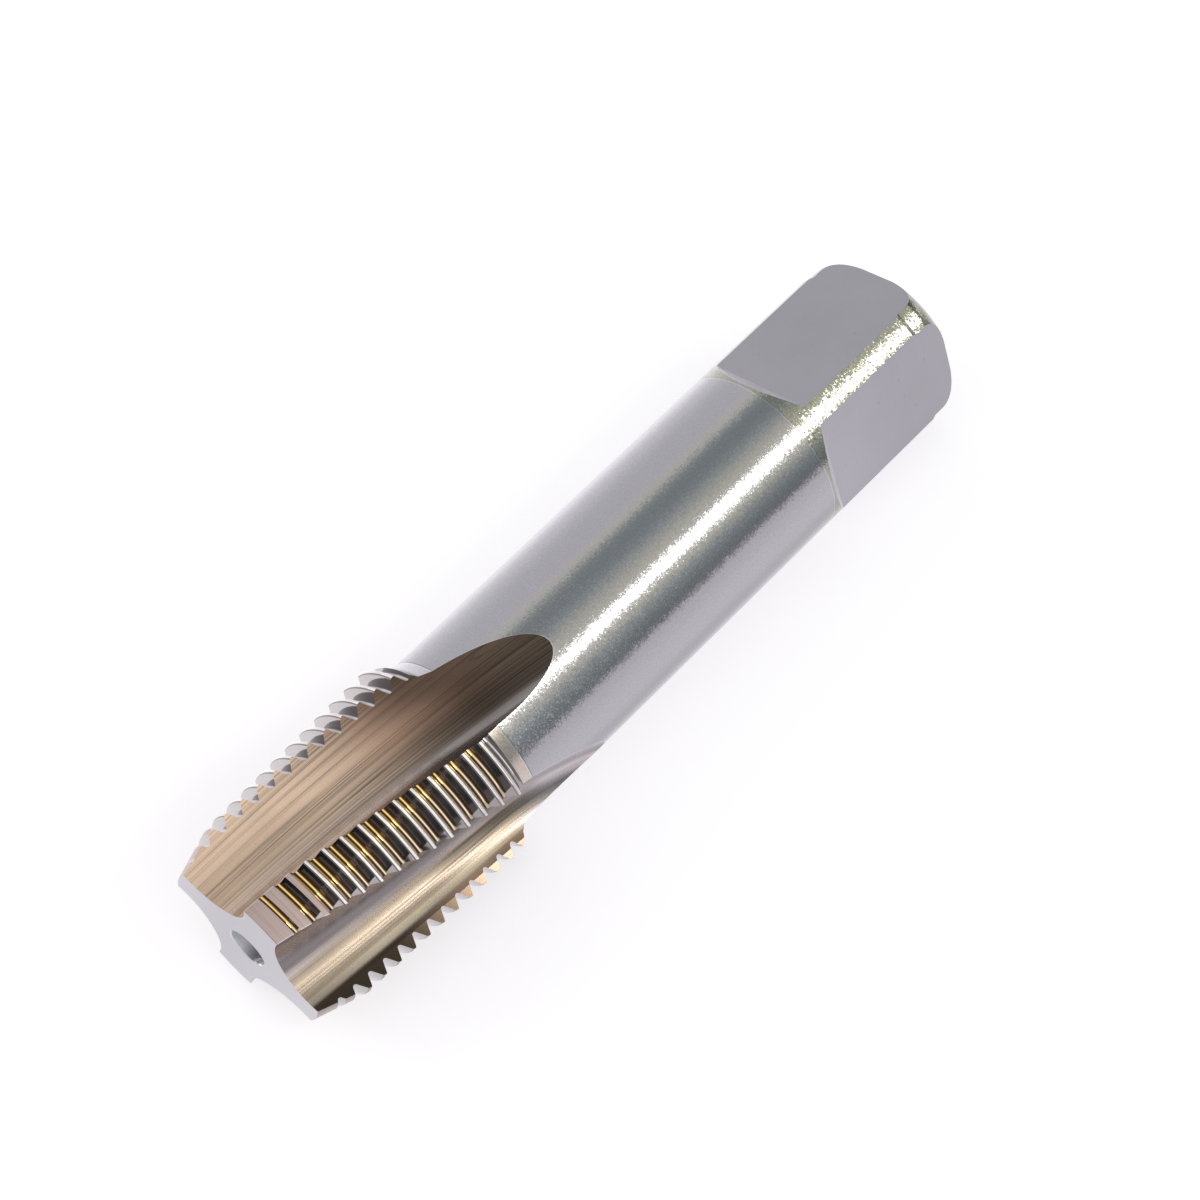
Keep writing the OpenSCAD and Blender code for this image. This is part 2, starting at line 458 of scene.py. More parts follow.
def in_flute(shape, p):
    """Points seen from the cutting edge of their own flute: outwards along it, and across."""
    turn = np.arctan2(p[:, 1], p[:, 0]) - shape.edge_turn(p[:, 2])
    reach = shape.land_step * FLUTE_SHARE
    folded = np.mod(turn + reach, shape.land_step) - reach
    r = np.hypot(p[:, 0], p[:, 1])
    return r * np.cos(folded), r * np.sin(folded)


def flute_normals(shape, p):
    """Normals of the flutes, leaning on towards the hook in all but the flute at the back."""
    qx, qy = in_flute(shape, p)
    cx, cy = shape.bottom(p[:, 2])
    turn = np.mod(np.arctan2(qy - cy, qx - cx), 2 * math.pi)
    edge = np.arctan2(p[:, 1], p[:, 0]) - np.arctan2(qy, qx)
    number = np.round((edge - shape.edge_turn(p[:, 2])) / shape.land_step) % shape.flutes
    lean_start, lean_sweep, lean_length, back_flute = math.radians(165), math.radians(40), 15.0, 2
    share = np.clip((lean_start - turn) / lean_sweep, 0.0, 1.0)
    lean = math.radians(15) + math.radians(13) * np.clip(p[:, 2] / lean_length, 0.0, 1.0)
    turn = turn - np.where(number == back_flute, 0.0, lean) * share * share * (3 - 2 * share)
    out, across = -np.cos(turn), -np.sin(turn)
    step = 0.01
    high, low = shape.bottom(p[:, 2] + step), shape.bottom(p[:, 2] - step)
    move_x = (high[0] - low[0]) / 2 / step - shape.wind * qy
    move_y = (high[1] - low[1]) / 2 / step + shape.wind * qx
    c, s = np.cos(edge), np.sin(edge)
    along = -(out * move_x + across * move_y)
    return unit(np.stack([out * c - across * s, out * s + across * c, along], 1))


def cutting_normals(shape, p):
    """Normals of the cutting faces, the way in which the depth before them grows fastest."""
    half = shape.land_step / 2

    def depth(q):
        turn = np.arctan2(q[:, 1], q[:, 0]) - shape.edge_turn(q[:, 2])
        return np.hypot(q[:, 0], q[:, 1]) * -np.sin(np.mod(turn + half, 2 * half) - half)

    return unit(np.stack([depth(p + move) - depth(p - move) for move in np.eye(3) * 1e-3], 1))


def unit(v):
    """Vectors of length 1."""
    return v / np.maximum(np.linalg.norm(v, axis=1, keepdims=True), 1e-12)


def thread_normals(shape, p):
    """Normals of the thread's groove at points on it."""
    r = np.hypot(p[:, 0], p[:, 1])
    turn = np.arctan2(p[:, 1], p[:, 0])
    root_z = shape.thread_length + shape.pitch * (turn + shape.thread_turn) / 2 / math.pi
    half = shape.pitch / 2
    s = np.mod(p[:, 2] - root_z + half, shape.pitch) - half
    u = r - (shape.crest_r(p[:, 2] - s) - shape.groove_depth)
    round_end = shape.tooth_r * (1 - math.cos(shape.flank_lean))
    side = np.where(s < 0, -1.0, 1.0)
    lean = np.full(len(p), shape.flank_lean)
    root = u < round_end
    lean = np.where(root, np.arccos(np.clip(1 - u / shape.tooth_r, -1, 1)), lean)
    crest = u > shape.groove_depth - round_end
    over = np.clip(1 - (shape.groove_depth - u) / shape.tooth_r, -1, 1)
    lean = np.where(crest, np.arccos(over), lean)
    out, along = np.cos(lean), -side * np.sin(lean)
    around = -along * shape.pitch / 2 / math.pi / r
    along = along - out / 2 / shape.thread_taper
    c, sn = p[:, 0] / r, p[:, 1] / r
    return unit(np.stack([out * c - around * sn, out * sn + around * c, along], 1))


def turned_normals(p, flat_normals):
    """Normals of a turned surface, from the slope of its faces."""
    r = np.maximum(np.hypot(p[:, 0], p[:, 1]), 1e-9)
    c, s = p[:, 0] / r, p[:, 1] / r
    out = flat_normals[:, 0] * c + flat_normals[:, 1] * s
    return unit(np.stack([out * c, out * s, flat_normals[:, 2]], 1))


def end_normals(shape, p):
    """Normals of the rounded rear edge."""
    r = np.hypot(p[:, 0], p[:, 1])
    out = r - (shape.end_r - shape.end_arc_r)
    along = p[:, 2] - (shape.tap_length - shape.round_length)
    return unit(np.stack([out * p[:, 0] / r, out * p[:, 1] / r, along], 1))


def smooth_by_form(mesh, shape):
    """The normal of the true form under each face corner."""
    p = read(mesh.vertices, "co", 3, float)[read(mesh.loops, "vertex_index")]
    count = read(mesh.polygons, "loop_total")
    flat = np.repeat(read(mesh.polygons, "normal", 3, float), count, 0)
    kind = np.repeat(read(mesh.polygons, "material_index"), count)
    normal = np.where(np.isin(kind, TURNED_KINDS)[:, None], turned_normals(p, flat), flat)
    for own_kind, normals in (
        (END_ROUND, end_normals),
        (GROOVE, thread_normals),
        (GULLET, flute_normals),
        (CUTTING, cutting_normals),
    ):
        found = kind == own_kind
        normal[found] = normals(shape, p[found])
    agree = (normal * flat).sum(1) > 0.5
    return np.where(agree[:, None], normal, flat)


def arithmetic(operation, swapped=False):
    """An arithmetic method that adds one Math node."""

    def method(field, other):
        values = (other, field) if swapped else (field, other)
        return field.nodes.math(operation, *values)

    return method


class Field:
    """A number or colour running through a material, with ordinary arithmetic."""

    def __init__(self, nodes, socket):
        self.nodes, self.socket = nodes, socket

    __add__ = __radd__ = arithmetic("ADD")
    __mul__ = __rmul__ = arithmetic("MULTIPLY")
    __sub__, __rsub__ = arithmetic("SUBTRACT"), arithmetic("SUBTRACT", swapped=True)
    __truediv__, __rtruediv__ = arithmetic("DIVIDE"), arithmetic("DIVIDE", swapped=True)

    def __neg__(self):
        return self * -1.0


class Nodes:
    """Adds nodes to a material or world."""

    def __init__(self, owner):
        owner.use_nodes = True
        self.owner = owner
        self.tree = owner.node_tree
        self.tree.nodes.clear()

    def node(self, kind, settings=None, inputs=None, out=0):
        """One node. Its settings come first, then the values or links of its sockets."""
        made = self.tree.nodes.new(kind)
        for name, value in (settings or {}).items():
            if name == "stops":
                self.set_stops(made.color_ramp, value)
            else:
                setattr(made, name, value)
        for name, value in (inputs or {}).items():
            socket = made.inputs[name]
            if isinstance(value, Field):
                self.tree.links.new(value.socket, socket)
            else:
                socket.default_value = value
        return Field(self, made.outputs[out]) if len(made.outputs) else made

    @staticmethod
    def set_stops(ramp, stops):
        """Gives a ramp its stops, as (place, colour) pairs."""
        while len(ramp.elements) < len(stops):
            ramp.elements.new(1.0)
        for element, (place, color) in zip(ramp.elements, stops):
            element.position = place
            element.color = (*color, 1.0)

    def math(self, operation, *values):
        """One Math node."""
        return self.node("ShaderNodeMath", {"operation": operation}, dict(enumerate(values)))

    def vector(self, operation, *vectors, out=0):
        """One Vector Math node."""
        inputs = dict(enumerate(vectors))
        return self.node("ShaderNodeVectorMath", {"operation": operation}, inputs, out)

    def times(self, v, value):
        """A colour or vector times a number."""
        inputs = {0: v, "Scale": value}
        return self.node("ShaderNodeVectorMath", {"operation": "SCALE"}, inputs)

    def joined(self, x, y, z):
        """A vector from three numbers."""
        return self.node("ShaderNodeCombineXYZ", None, {"X": x, "Y": y, "Z": z})

    def parts(self, v):
        """The three numbers of a vector."""
        x = self.node("ShaderNodeSeparateXYZ", None, {"Vector": v})
        return [Field(self, socket) for socket in x.socket.node.outputs]

    def band(self, value, low, high):
        """0 below low, 1 above high and a smooth step between."""
        inputs = {"Value": value, "From Min": low, "From Max": high}
        return self.node("ShaderNodeMapRange", {"interpolation_type": "SMOOTHSTEP"}, inputs)

    def fall(self, value, low, high):
        """1 below low, 0 above high and a smooth step between."""
        return 1.0 - self.band(value, low, high)

    def zone(self, value, a, b, c, d):
        """1 between b and c, 0 outside a and d and smooth steps between."""
        return self.band(value, a, b) * self.fall(value, c, d)

    def line(self, value, width):
        """1 where a value is 0, and 0 from the width on to both sides."""
        return self.fall(self.math("ABSOLUTE", value), 0.0, width)

    def mix(self, a, b, factor):
        """Colour a where factor is 0 and colour b where it is 1."""
        a, b = (c if isinstance(c, Field) else (*c[:3], 1.0) for c in (a, b))
        inputs = {"Factor": factor, 6: a, 7: b}
        return self.node("ShaderNodeMix", {"data_type": "RGBA"}, inputs, out=2)

    def noise(self, place, scale, detail=2.0, roughness=0.5):
        """Noise about 0, with features of about 1 / scale."""
        inputs = {"Vector": place, "Scale": scale, "Detail": detail, "Roughness": roughness}
        return self.node("ShaderNodeTexNoise", None, inputs) - 0.5

    def facets(self, place, scale, lean):
        """Normals of small facets, each leaning its own way and most of them only a little."""
        cell = self.node("ShaderNodeTexVoronoi", None, {"Vector": place, "Scale": scale}, "Color")
        way = self.vector("SUBTRACT", cell, (0.5, 0.5, 0.5))
        way = self.times(way, self.vector("LENGTH", way, out="Value") * lean)
        normal = self.node("ShaderNodeNewGeometry", out="Normal")
        return self.vector("NORMALIZE", self.vector("ADD", normal, way))

    def finish(self, color, roughness, height, depth, facets=None, metallic=1.0):
        """Ends a steel material, with a relief of some micrometres, and returns it."""
        relief = {"Height": height, "Distance": depth * MICROMETRE, "Strength": 1.0}
        if facets is not None:
            relief["Normal"] = facets
        shader = self.node("ShaderNodeBsdfPrincipled", None, {
            "Base Color": color, "Roughness": roughness, "Metallic": metallic,
            "Normal": self.node("ShaderNodeBump", None, relief)})
        self.node("ShaderNodeOutputMaterial", None, {"Surface": shader})
        return self.owner


class TapPlace:
    """Where a point of the tap's surface lies, in millimetres and radians."""

    def __init__(self, nodes, shape):
        self.nodes, self.shape = nodes, shape
        self.spot = nodes.times(nodes.node("ShaderNodeTexCoord", out="Object"), 1 / MM)
        self.x, self.y, self.z = nodes.parts(self.spot)
        self.r = nodes.math("SQRT", self.y * self.y + self.z * self.z)

    def wound(self):
        """The place unwound along the flutes, so that a flute runs straight along X."""
        return self.nodes.node(
            "ShaderNodeVectorRotate",
            {"rotation_type": "X_AXIS"},
            {"Vector": self.spot, "Angle": self.x * -self.shape.wind},
        )

    def turn_from_edge(self):
        """Turn from the flute's cutting edge: below 0 in the flute, above 0 on the land."""
        nodes, shape = self.nodes, self.shape
        _, y, z = nodes.parts(self.wound())
        reach = shape.land_step * FLUTE_SHARE
        shifted = nodes.math("ARCTAN2", y, -z) - (shape.edge_start + shape.lie_turn - reach)
        return nodes.math("FLOORED_MODULO", shifted, shape.land_step) - reach

    def rise(self):
        """How far the flute has risen."""
        nodes, shape = self.nodes, self.shape
        run = nodes.math("MAXIMUM", self.x - shape.flute_length, 0.0)
        left = nodes.math("SQRT", nodes.math("MAXIMUM", shape.runout_r**2 - run * run, 1.0))
        return self.x / shape.core_taper + shape.runout_r - left

    def from_round(self, turn):
        """How far a turn from the cutting edge lies outside the flute's round, and where on it."""
        nodes = self.nodes
        cx, cy = self.shape.bottom(self.x, self.rise())
        dx = self.r * nodes.math("COSINE", turn) - cx
        dy = self.r * nodes.math("SINE", turn) - cy
        gap = nodes.math("SQRT", dx * dx + dy * dy) - self.shape.bottom_r
        return gap, nodes.math("ARCTAN2", dy, dx)


# Tints, and painted light and shade, that the finishes mix in, beside those that the user may
# change
COOL_SLATE, WARM_SLATE = (0.46, 0.46, 0.50), (0.48, 0.45, 0.47)
# Pale strips of painted reflection in the flutes
PALE_STRIP, LOW_STRIP = (1.0, 0.93, 0.89), (0.95, 0.88, 0.90)
# Painted red and grey reflections at the flutes' run-out, and copper on the low flute's cutting
# face
RUNOUT_RED, RUNOUT_GREY, COPPER = (0.62, 0.36, 0.25), (0.62, 0.56, 0.60), (0.78, 0.56, 0.40)
# Painted highlight on the low flute
STRAW, SAND = (1.0, 0.85, 0.68), (0.95, 0.76, 0.60)
# Whiter crests, partly a painted highlight, and painted shade below the crests
BRIGHT_CREST, FULL_CREST, DARK_LIP = (1.0, 0.95, 0.92), (1.0, 0.94, 0.91), (0.26, 0.235, 0.235)
# The warm and cool sides of the neck's cone are painted reflections
DARK_CHAMFER, WARM_NECK, COOL_NECK = (0.13, 0.11, 0.10), (0.84, 0.74, 0.66), (0.80, 0.79, 0.83)
# Painted shade on the rear flanks, and painted golden reflection near the root
REAR_FLANK, AMBER, DARK_AMBER = (0.22, 0.20, 0.205), (0.60, 0.34, 0.08), (0.085, 0.05, 0.02)
# Painted reflection in the root, and painted light in the centre hole
PALE_ROOT, HOLE_LIGHT = (0.72, 0.62, 0.52), (0.95, 0.97, 0.88)


def steel(name, shape):
    """The nodes of a new material, and the places on the tap that it is laid out by."""
    nodes = Nodes(bpy.data.materials.new(name))
    return nodes, TapPlace(nodes, shape)


def fluted_edge(n, place, width):
    """A mask along the edges where the flutes cut an outer surface."""
    turn = place.turn_from_edge()
    own, _ = place.from_round(turn)
    own = n.math("MAXIMUM", own, place.r * n.math("SINE", turn))
    ahead, _ = place.from_round(turn - place.shape.land_step)
    return n.math("MAXIMUM", n.line(own, width), n.line(ahead, width))


def shank_steel(shape, finish):
    """Satin ground shank, rougher beyond the end of the ground length."""
    n, place = steel("satin_shank", shape)
    past_ground = place.x - shape.ground_length
    unground = n.band(past_ground, -0.05, 0.05)
    grain = n.noise(place.spot, 7.0, 3.0, 0.6)
    fine = n.noise(place.spot, 16.0, 1.0)
    rings = n.noise(n.joined(place.x * 6.0, place.r, 0.0), 1.0, 4.0, 0.65)
    cloud = n.noise(place.spot, 0.12, 3.0)
    speck = n.band(n.noise(place.spot, 5.0, 2.0), 0.24, 0.30)
    sheen = 0.965 + grain * 0.28 + fine * 0.20 + rings * 0.05
    color = n.times(n.mix(finish.shank_color, finish.band_color, unground), sheen)
    # A bright line where the grinding stops
    color = n.mix(color, finish.edge_color, n.line(past_ground, 0.05))
    # Painted highlight along the edges where the flutes run out into the shank
    edge = fluted_edge(n, place, 0.07) * n.fall(place.x, 37.0, 38.0)
    color = n.mix(color, finish.edge_color, edge * 0.8)
    # Painted shade: a thin dark line where the cone meets the shank
    color = n.times(color, 1.0 - n.line(place.x - shape.neck_z - 0.06, 0.07) * 0.45)
    rough = 0.135 + grain * 0.10 + cloud * 0.05 + speck * 0.15
    height = grain * 0.8 + fine * 0.5 + rings * 0.2
    facets = n.facets(place.spot, 7.5, 0.11 + unground * 0.13)
    return n.finish(color, rough, height, 6.0, facets)


def flat_steel(shape, finish):
    """Matt flats and rear face with faint milling marks and dark specks."""
    n, place = steel("matt_flats", shape)
    grain = n.noise(place.spot, 6.0, 3.0, 0.6)
    cloud = n.noise(place.spot, 0.16, 2.0)
    across = n.noise(n.joined(place.x * 5.0, place.y * 0.3, place.z * 0.3), 1.0, 3.0)
    speck = n.band(n.noise(place.spot, 2.6, 1.0), 0.26, 0.29)
    # Painted light: the flats are lighter near the shoulder, where the light falls
    painted_light_near_shoulder = n.fall(place.x, 70.0, 80.0) * n.band(-place.y, 3.0, 8.0)
    value = 0.90 + grain * 0.08 + cloud * 0.1 + across * 0.05
    color = n.times(finish.flat_color, value + painted_light_near_shoulder * 0.12 - speck * 0.25)
    rough = 0.42 + grain * 0.1
    return n.finish(color, rough, grain * 0.6 + across * 0.5, 2.5)


def shoulder_steel(shape, finish):
    """Sloping shoulders of the flats, brighter and with the marks of the cutter, and painted
    highlights along their edges.
    """
    n, place = steel("bright_shoulders", shape)
    marks = n.noise(n.joined(place.x * 7.0, place.y * 0.5, place.z * 0.5), 1.0, 3.0, 0.6)
    grain = n.noise(place.spot, 6.0, 2.0)
    color = n.times(finish.shoulder_color, 0.97 + marks * 0.35 + grain * 0.1)
    # Painted highlights along the foot and the top edge of each shoulder
    foot = n.line(place.x - (shape.tap_length - shape.square_length), 0.25)
    top = n.fall(shape.shank_d / 2 - place.r, 0.0, 0.12)
    color = n.mix(color, finish.edge_color, n.math("MAXIMUM", foot, top) * 0.8)
    return n.finish(color, 0.34 + marks * 0.2, marks * 0.7 + grain * 0.3, 5.0)


def front_steel(shape, finish):
    """Finely ground front face with straight faint lines and a bright rim, a painted highlight."""
    n, place = steel("front_face", shape)
    grain = n.noise(place.spot, 8.0, 3.0, 0.6)
    lines = n.noise(n.joined(place.x, place.y * 6.0, place.z * 0.4), 1.0, 3.0)
    color = n.times(finish.front_color, 0.94 + grain * 0.06 + lines * 0.08)
    # Painted highlights along the hole's rim and the edges of the flutes
    rim = n.line(place.r - shape.hole_d / 2, 0.12)
    edge = n.math("MAXIMUM", fluted_edge(n, place, 0.08), rim)
    color = n.mix(color, finish.edge_color, edge * 0.5)
    rough = 0.40 + grain * 0.08
    return n.finish(color, rough, grain * 0.5 + lines * 0.5, 1.8)


def gullet_steel(shape, finish):
    """Khaki flutes with fine grinding lines along their winding.

    The degrees here run around a flute's round, from its cutting face at about 90 up to its
    heel. The flute on top darkens towards its end in painted shade, and the low one beside it
    has a row of painted highlights and painted shade of its own.
    """
    n, place = steel("ground_flutes", shape)
    x = place.x
    wound_x, wound_y, wound_z = n.parts(place.wound())
    arc = n.math("FLOORED_MODULO", place.from_round(place.turn_from_edge())[1], 2 * math.pi)
    around = n.math("DEGREES", arc)
    top = n.band(place.z / place.r, 0.40, 0.62)
    low = n.band(-wound_y / place.r, 0.2, 0.5)
    high = 1.0 - low

    side_y, side_z = wound_y / place.r * 3.0, wound_z / place.r * 3.0
    fine = n.noise(n.joined(wound_x * 0.02 + side_y, arc * 38.0, side_z), 1.0, 3.0, 0.65)
    broad = n.noise(n.joined(wound_x * 0.015 + side_z, arc * 11.0, side_y), 1.0, 2.0)
    long = n.noise(n.joined(wound_x * 0.010 + side_y, arc * 5.0, side_z), 1.0, 1.0)
    grain = n.noise(place.spot, 9.0, 2.0)
    cloud = n.noise(place.spot, 0.18, 2.0)
    speck = n.band(n.noise(place.spot, 3.4, 1.0), 0.26, 0.30)
    dark = n.band(fine, -0.04, 0.14) * (0.45 + 0.35 * n.band(x, 5.0, 14.0))
    dark = dark + n.band(broad, 0.0, 0.20) * 0.25 + n.line(long, 0.010) * 0.45
    heel = n.band(around, 130, 170)
    color = n.mix(finish.gullet_color, finish.gullet_red, heel)
    color = n.mix(color, finish.gullet_dark, n.math("MINIMUM", dark, 1.0))

    # Painted shade: the top flute darkens towards its run-out, sooner at its heel
    late = n.band(around, 168, 196) * 3.5
    dusk = n.band(x + late, 13.0, 29.0) * top * (0.55 + 0.45 * n.band(around, 112, 142))
    # Painted reflections at the run-out: red by the top flute's heel, grey on the other flutes
    color = n.mix(color, RUNOUT_RED, heel * n.zone(x, 15.0, 22.0, 28.0, 33.0) * top * 0.5)
    end = n.band(x, 24.0, 31.0) * (1.0 - top) * n.band(around, 101, 110)
    color = n.mix(color, RUNOUT_GREY, end * 0.9)

    hook = n.fall(around, 112, 121)
    face = n.band(around, 107, 111)
    above = n.zone(around, 107, 111, 115, 120) * n.zone(x, 0.0, 9.0, 18.0, 27.0)
    below = n.zone(around, 127, 133, 138, 142) * n.zone(x, 1.0, 12.0, 15.0, 21.0)
    # Tones laid on one flute only: on the top flute a slate hook and a pale strip of painted
    # reflection; on the low flute a pale strip of painted reflection, slate, copper on the cutting
    # face, and straw and sand as painted highlight
    for tint, share in (
        (COOL_SLATE, hook * high * 0.95),
        (PALE_STRIP, n.zone(around, 121, 125, 130, 134) * high * 0.95),
        (LOW_STRIP, n.zone(around, 138, 142, 145, 149) * low * 0.35),
        (WARM_SLATE, n.band(around, 140, 150) * low * 0.8),
        (COPPER, (1.0 - face) * low * 0.8),
        (STRAW, above * low * 0.9),
        (SAND, below * low * 0.8),
    ):
        color = n.mix(color, tint, share)
    # Painted shade in bands across the low flute, beside its highlight
    shadow = (
        n.zone(around, 141, 149, 158, 165) * n.fall(x, 23.0, 28.0) * 0.42
        + n.zone(around, 124, 131, 142, 148) * n.zone(x, 20.0, 25.0, 27.0, 31.0) * 0.4
        + n.zone(around, 114, 118, 127, 131) * 0.34
    )
    # Painted light and shade on the low flute's cutting face: dark at the front, lit further back
    lit = n.band(x, 9.0, 19.0) - 0.4 * n.band(x, 19.0, 23.0)
    gain = (face + (1.0 - face) * (0.16 + 0.8 * lit)) * (1.0 - shadow)

    value = 1.0 + cloud * 0.2 + grain * 0.3 - speck * 0.3
    # The low flute takes its painted light and shade, and the top flute its painted shade towards
    # the end
    color = n.times(color, value * (1.0 + low * (gain - 1.0)) * (1.0 - dusk * 0.86))
    # Painted highlight along the crease between the top flute's cutting face and its hook
    color = n.mix(color, finish.edge_color, n.line(around - 104.6, 1.7) * high * 0.6)
    rough = 0.26 + fine * 0.12 + grain * 0.10
    marks = (0.525 + fine * 0.8 + grain * 0.25) * (1.0 - hook * 0.8) + broad * 0.2
    return n.finish(color, rough, marks, 9.0)


def crest_steel(shape, finish):
    """Tan chamfered crests with fine lines around the tap, and the neck's cone."""
    n, place = steel("ground_crests", shape)
    x = place.x
    lines = n.noise(n.joined(x * 9.0, place.r * 2.0, 0.0), 1.0, 4.0, 0.7)
    grain = n.noise(place.spot, 6.0, 2.0)
    full = n.band(x, shape.lead_length, shape.lead_length + 2.0)
    chamfer = n.band(x, shape.thread_length, shape.thread_length + 0.1)
    neck = n.band(x, shape.foot_z - 0.05, shape.foot_z + 0.05)
    # Painted reflection: the neck's cone is warm on one side of the tap and cool on the other
    neck_reflection_tone = n.mix(WARM_NECK, COOL_NECK, n.band(place.y / place.r, 0.0, 0.4))
    # Full crests behind the lead are whiter, partly a painted highlight
    color = n.mix(n.mix(finish.crest_color, BRIGHT_CREST, full), DARK_CHAMFER, chamfer)
    color = n.mix(color, neck_reflection_tone, neck)
    color = n.times(color, 0.95 + lines * 0.8 + grain * 0.2)
    # Painted highlights along the edges of the neck and where the flutes cut the crests
    edge = n.math("MAXIMUM", n.line(x - shape.foot_z, 0.13), n.line(x - shape.neck_z, 0.13))
    edge = n.math("MAXIMUM", fluted_edge(n, place, 0.09), edge)
    color = n.mix(color, finish.edge_color, edge * 0.7)
    color = n.times(color, 1.0 + neck * grain * 0.3)
    rough = 0.25 - full * 0.08 + neck * 0.08 + grain * 0.12
    return n.finish(color, rough, lines * 0.8 + grain * 0.2, 4.0)


def groove_steel(shape, finish):
    """Polished thread flanks, with a painted golden reflection towards the root where the light
    falls in.
    """
    n, place = steel("thread_flanks", shape)
    crest = place.x / 2 / shape.thread_taper
    crest = crest + shape.thread_d / 2 - shape.thread_length / 2 / shape.thread_taper
    depth = crest - place.r
    rear = n.parts(n.node("ShaderNodeTexCoord", out="Normal"))[0]
    up, left = place.z / place.r, -place.y / place.r
    behind = n.band(rear, 0.02, 0.30)
    ahead = 1.0 - behind
    root = n.band(depth, shape.groove_depth * 0.958, shape.groove_depth * 0.99) * ahead
    amber = n.band(depth, shape.groove_depth * 0.76, shape.groove_depth * 0.95)
    # Painted golden reflection on the flanks on the side of the tap that faces the light, fading
    # towards their lower end
    golden = n.band(up, 0.1, 0.45) * n.band(left, -0.45, -0.1) * n.fall(place.x, 24.3, 25.0)
    fading = golden * (1.0 - 0.7 * n.band(left, 0.48, 0.68))
    lines = n.noise(n.joined(place.x * 8.0, place.r * 8.0, 0.0), 1.0, 3.0, 0.6)
    grain = n.noise(place.spot, 4.0, 2.0)
    # Painted shade on the flanks that face the rear
    color = n.mix(finish.groove_color, REAR_FLANK, n.band(rear, 0.15, 0.6))
    # Painted amber reflection near the root, dark amber on the rear side
    color = n.mix(color, AMBER, amber * fading * ahead)
    color = n.mix(color, DARK_AMBER, amber * golden * behind)
    color = n.mix(color, n.mix(PALE_ROOT, finish.root_color, fading), root * golden)
    color = n.times(color, 0.95 + lines * 0.3 + grain * 0.12)
    # Painted shade just below the crests
    color = n.mix(color, DARK_LIP, n.fall(depth, 0.10, 0.16) * 0.9)
    # Whiter crest tops, partly a painted highlight, less so towards their lower end
    full = n.fall(depth, 0.040, 0.058) * (1.0 - 0.3 * n.band(left, 0.40, 0.62))
    color = n.mix(color, FULL_CREST, full)
    rough = 0.07 + grain * 0.06
    return n.finish(color, rough, lines + grain * 0.5, 1.4)


def hole_steel(shape, finish):
    """Wall of the centre hole, with drilling rings, painted light and shade across it and painted
    glints.
    """
    n, place = steel("centre_hole", shape)
    rings = n.noise(n.joined(place.x * 5.0, 0.0, 0.0), 1.0, 3.0)
    grain = n.noise(place.spot, 5.0, 2.0)
    # Painted light on both sides of the wall, painted shade between them, and painted glints and a
    # lighter tint on the far side
    across = -place.y / place.r
    near, far = n.fall(across, -0.7, 0.1), n.band(across, 0.2, 0.75)
    glint = n.band(n.noise(place.spot, 2.2, 1.0), 0.0, 0.12) * n.band(across, 0.0, 0.5)
    value = 0.9 + rings * 0.4 + grain * 0.2
    value = value * (0.35 + near * 0.75 + far * 0.55) + glint * 0.8
    color = n.times(n.mix(finish.hole_color, HOLE_LIGHT, far), value)
    return n.finish(color, 0.42 + grain * 0.2, rings * 0.6 + grain * 0.4, 6.0, metallic=0.5)


FINISHES = (
    (front_steel, (FRONT,)),
    (crest_steel, (LEAD, CREST, CHAMFER, NECK)),
    (groove_steel, (GROOVE,)),
    (shank_steel, (SHANK, END_BAND, END_ROUND)),
    (flat_steel, (FLAT, REAR)),
    (shoulder_steel, (SHOULDER,)),
    (gullet_steel, (GULLET, CUTTING)),
    (hole_steel, (HOLE, HOLE_RIM)),
)


def dress(mesh, shape, finish):
    """Puts each finish on its kinds of surface."""
    kinds = read(mesh.polygons, "material_index")
    mesh.materials.clear()
    slots = np.zeros_like(kinds)
    for number, (make, members) in enumerate(FINISHES):
        mesh.materials.append(make(shape, finish))
        slots[np.isin(kinds, members)] = number
    mesh.polygons.foreach_set("material_index", slots)


class BuildTap(bpy.types.Operator):
    """Shapes the tap, smooths it by its true form and gives each surface its finish"""

    bl_idname = "tap.build_tap"
    bl_label = "Tap"

    def execute(self, context):
        shape = TapShape(context.scene.tap_sizes)
        body = blank(shape)
        cutters = [thread_cutter(shape)]
        cutters += [flute_cutter(shape, i) for i in range(shape.flutes)]
        cutters += [square_cutter(shape, i) for i in range(4)]
        cutters.append(hole_cutter(shape))
        mesh = cut_away(body, cutters)
        if not mesh.polygons:
            raise RuntimeError("the cuts left no tap")
        edit(mesh, bmesh.ops.triangulate, quad_method="SHORT_EDGE")
        normal = smooth_by_form(mesh, shape)
        laid = laid_over(read(mesh.vertices, "co", 3, float), shape) * MM
        mesh.vertices.foreach_set("co", laid.ravel())
        mesh.update()
        mesh.polygons.foreach_set("use_smooth", np.ones(len(mesh.polygons), bool))
        mesh.normals_split_custom_set(laid_over(normal, shape).tolist())
        dress(mesh, shape, context.scene.tap_finish)
        for kind in range(SURFACE_KINDS):
            bpy.data.materials.remove(shaping_slot(kind))
        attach(body, "root")
        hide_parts("tap")
        print("tap:", len(mesh.vertices), "points,", len(mesh.polygons), "triangles")
        return {"FINISHED"}


# Stretches of the tap that lie on the floor, and sizes of the stage, in metres
THREAD_END, SHANK_STRETCH = 0.026, (0.05, 0.07)
FLOOR_HALF, FLOOR_SPAN = 3.0, 0.2
LIT_POINT, LIGHT_DISTANCE = Vector((0.045, 0.0, 0.0)), 0.9
FLOOR_HAZE = (0.955, 0.945, 0.975)

# What the steel reflects. Floor panels have their place across the floor, the others their
# turn about the tap's axis, from straight down at 0 over +Y at 0.25, and then their brightness
COOL, WARM, PALE = (0.89, 1.0, 1.01), (1.01, 1.0, 0.86), (1.0, 0.995, 1.035)
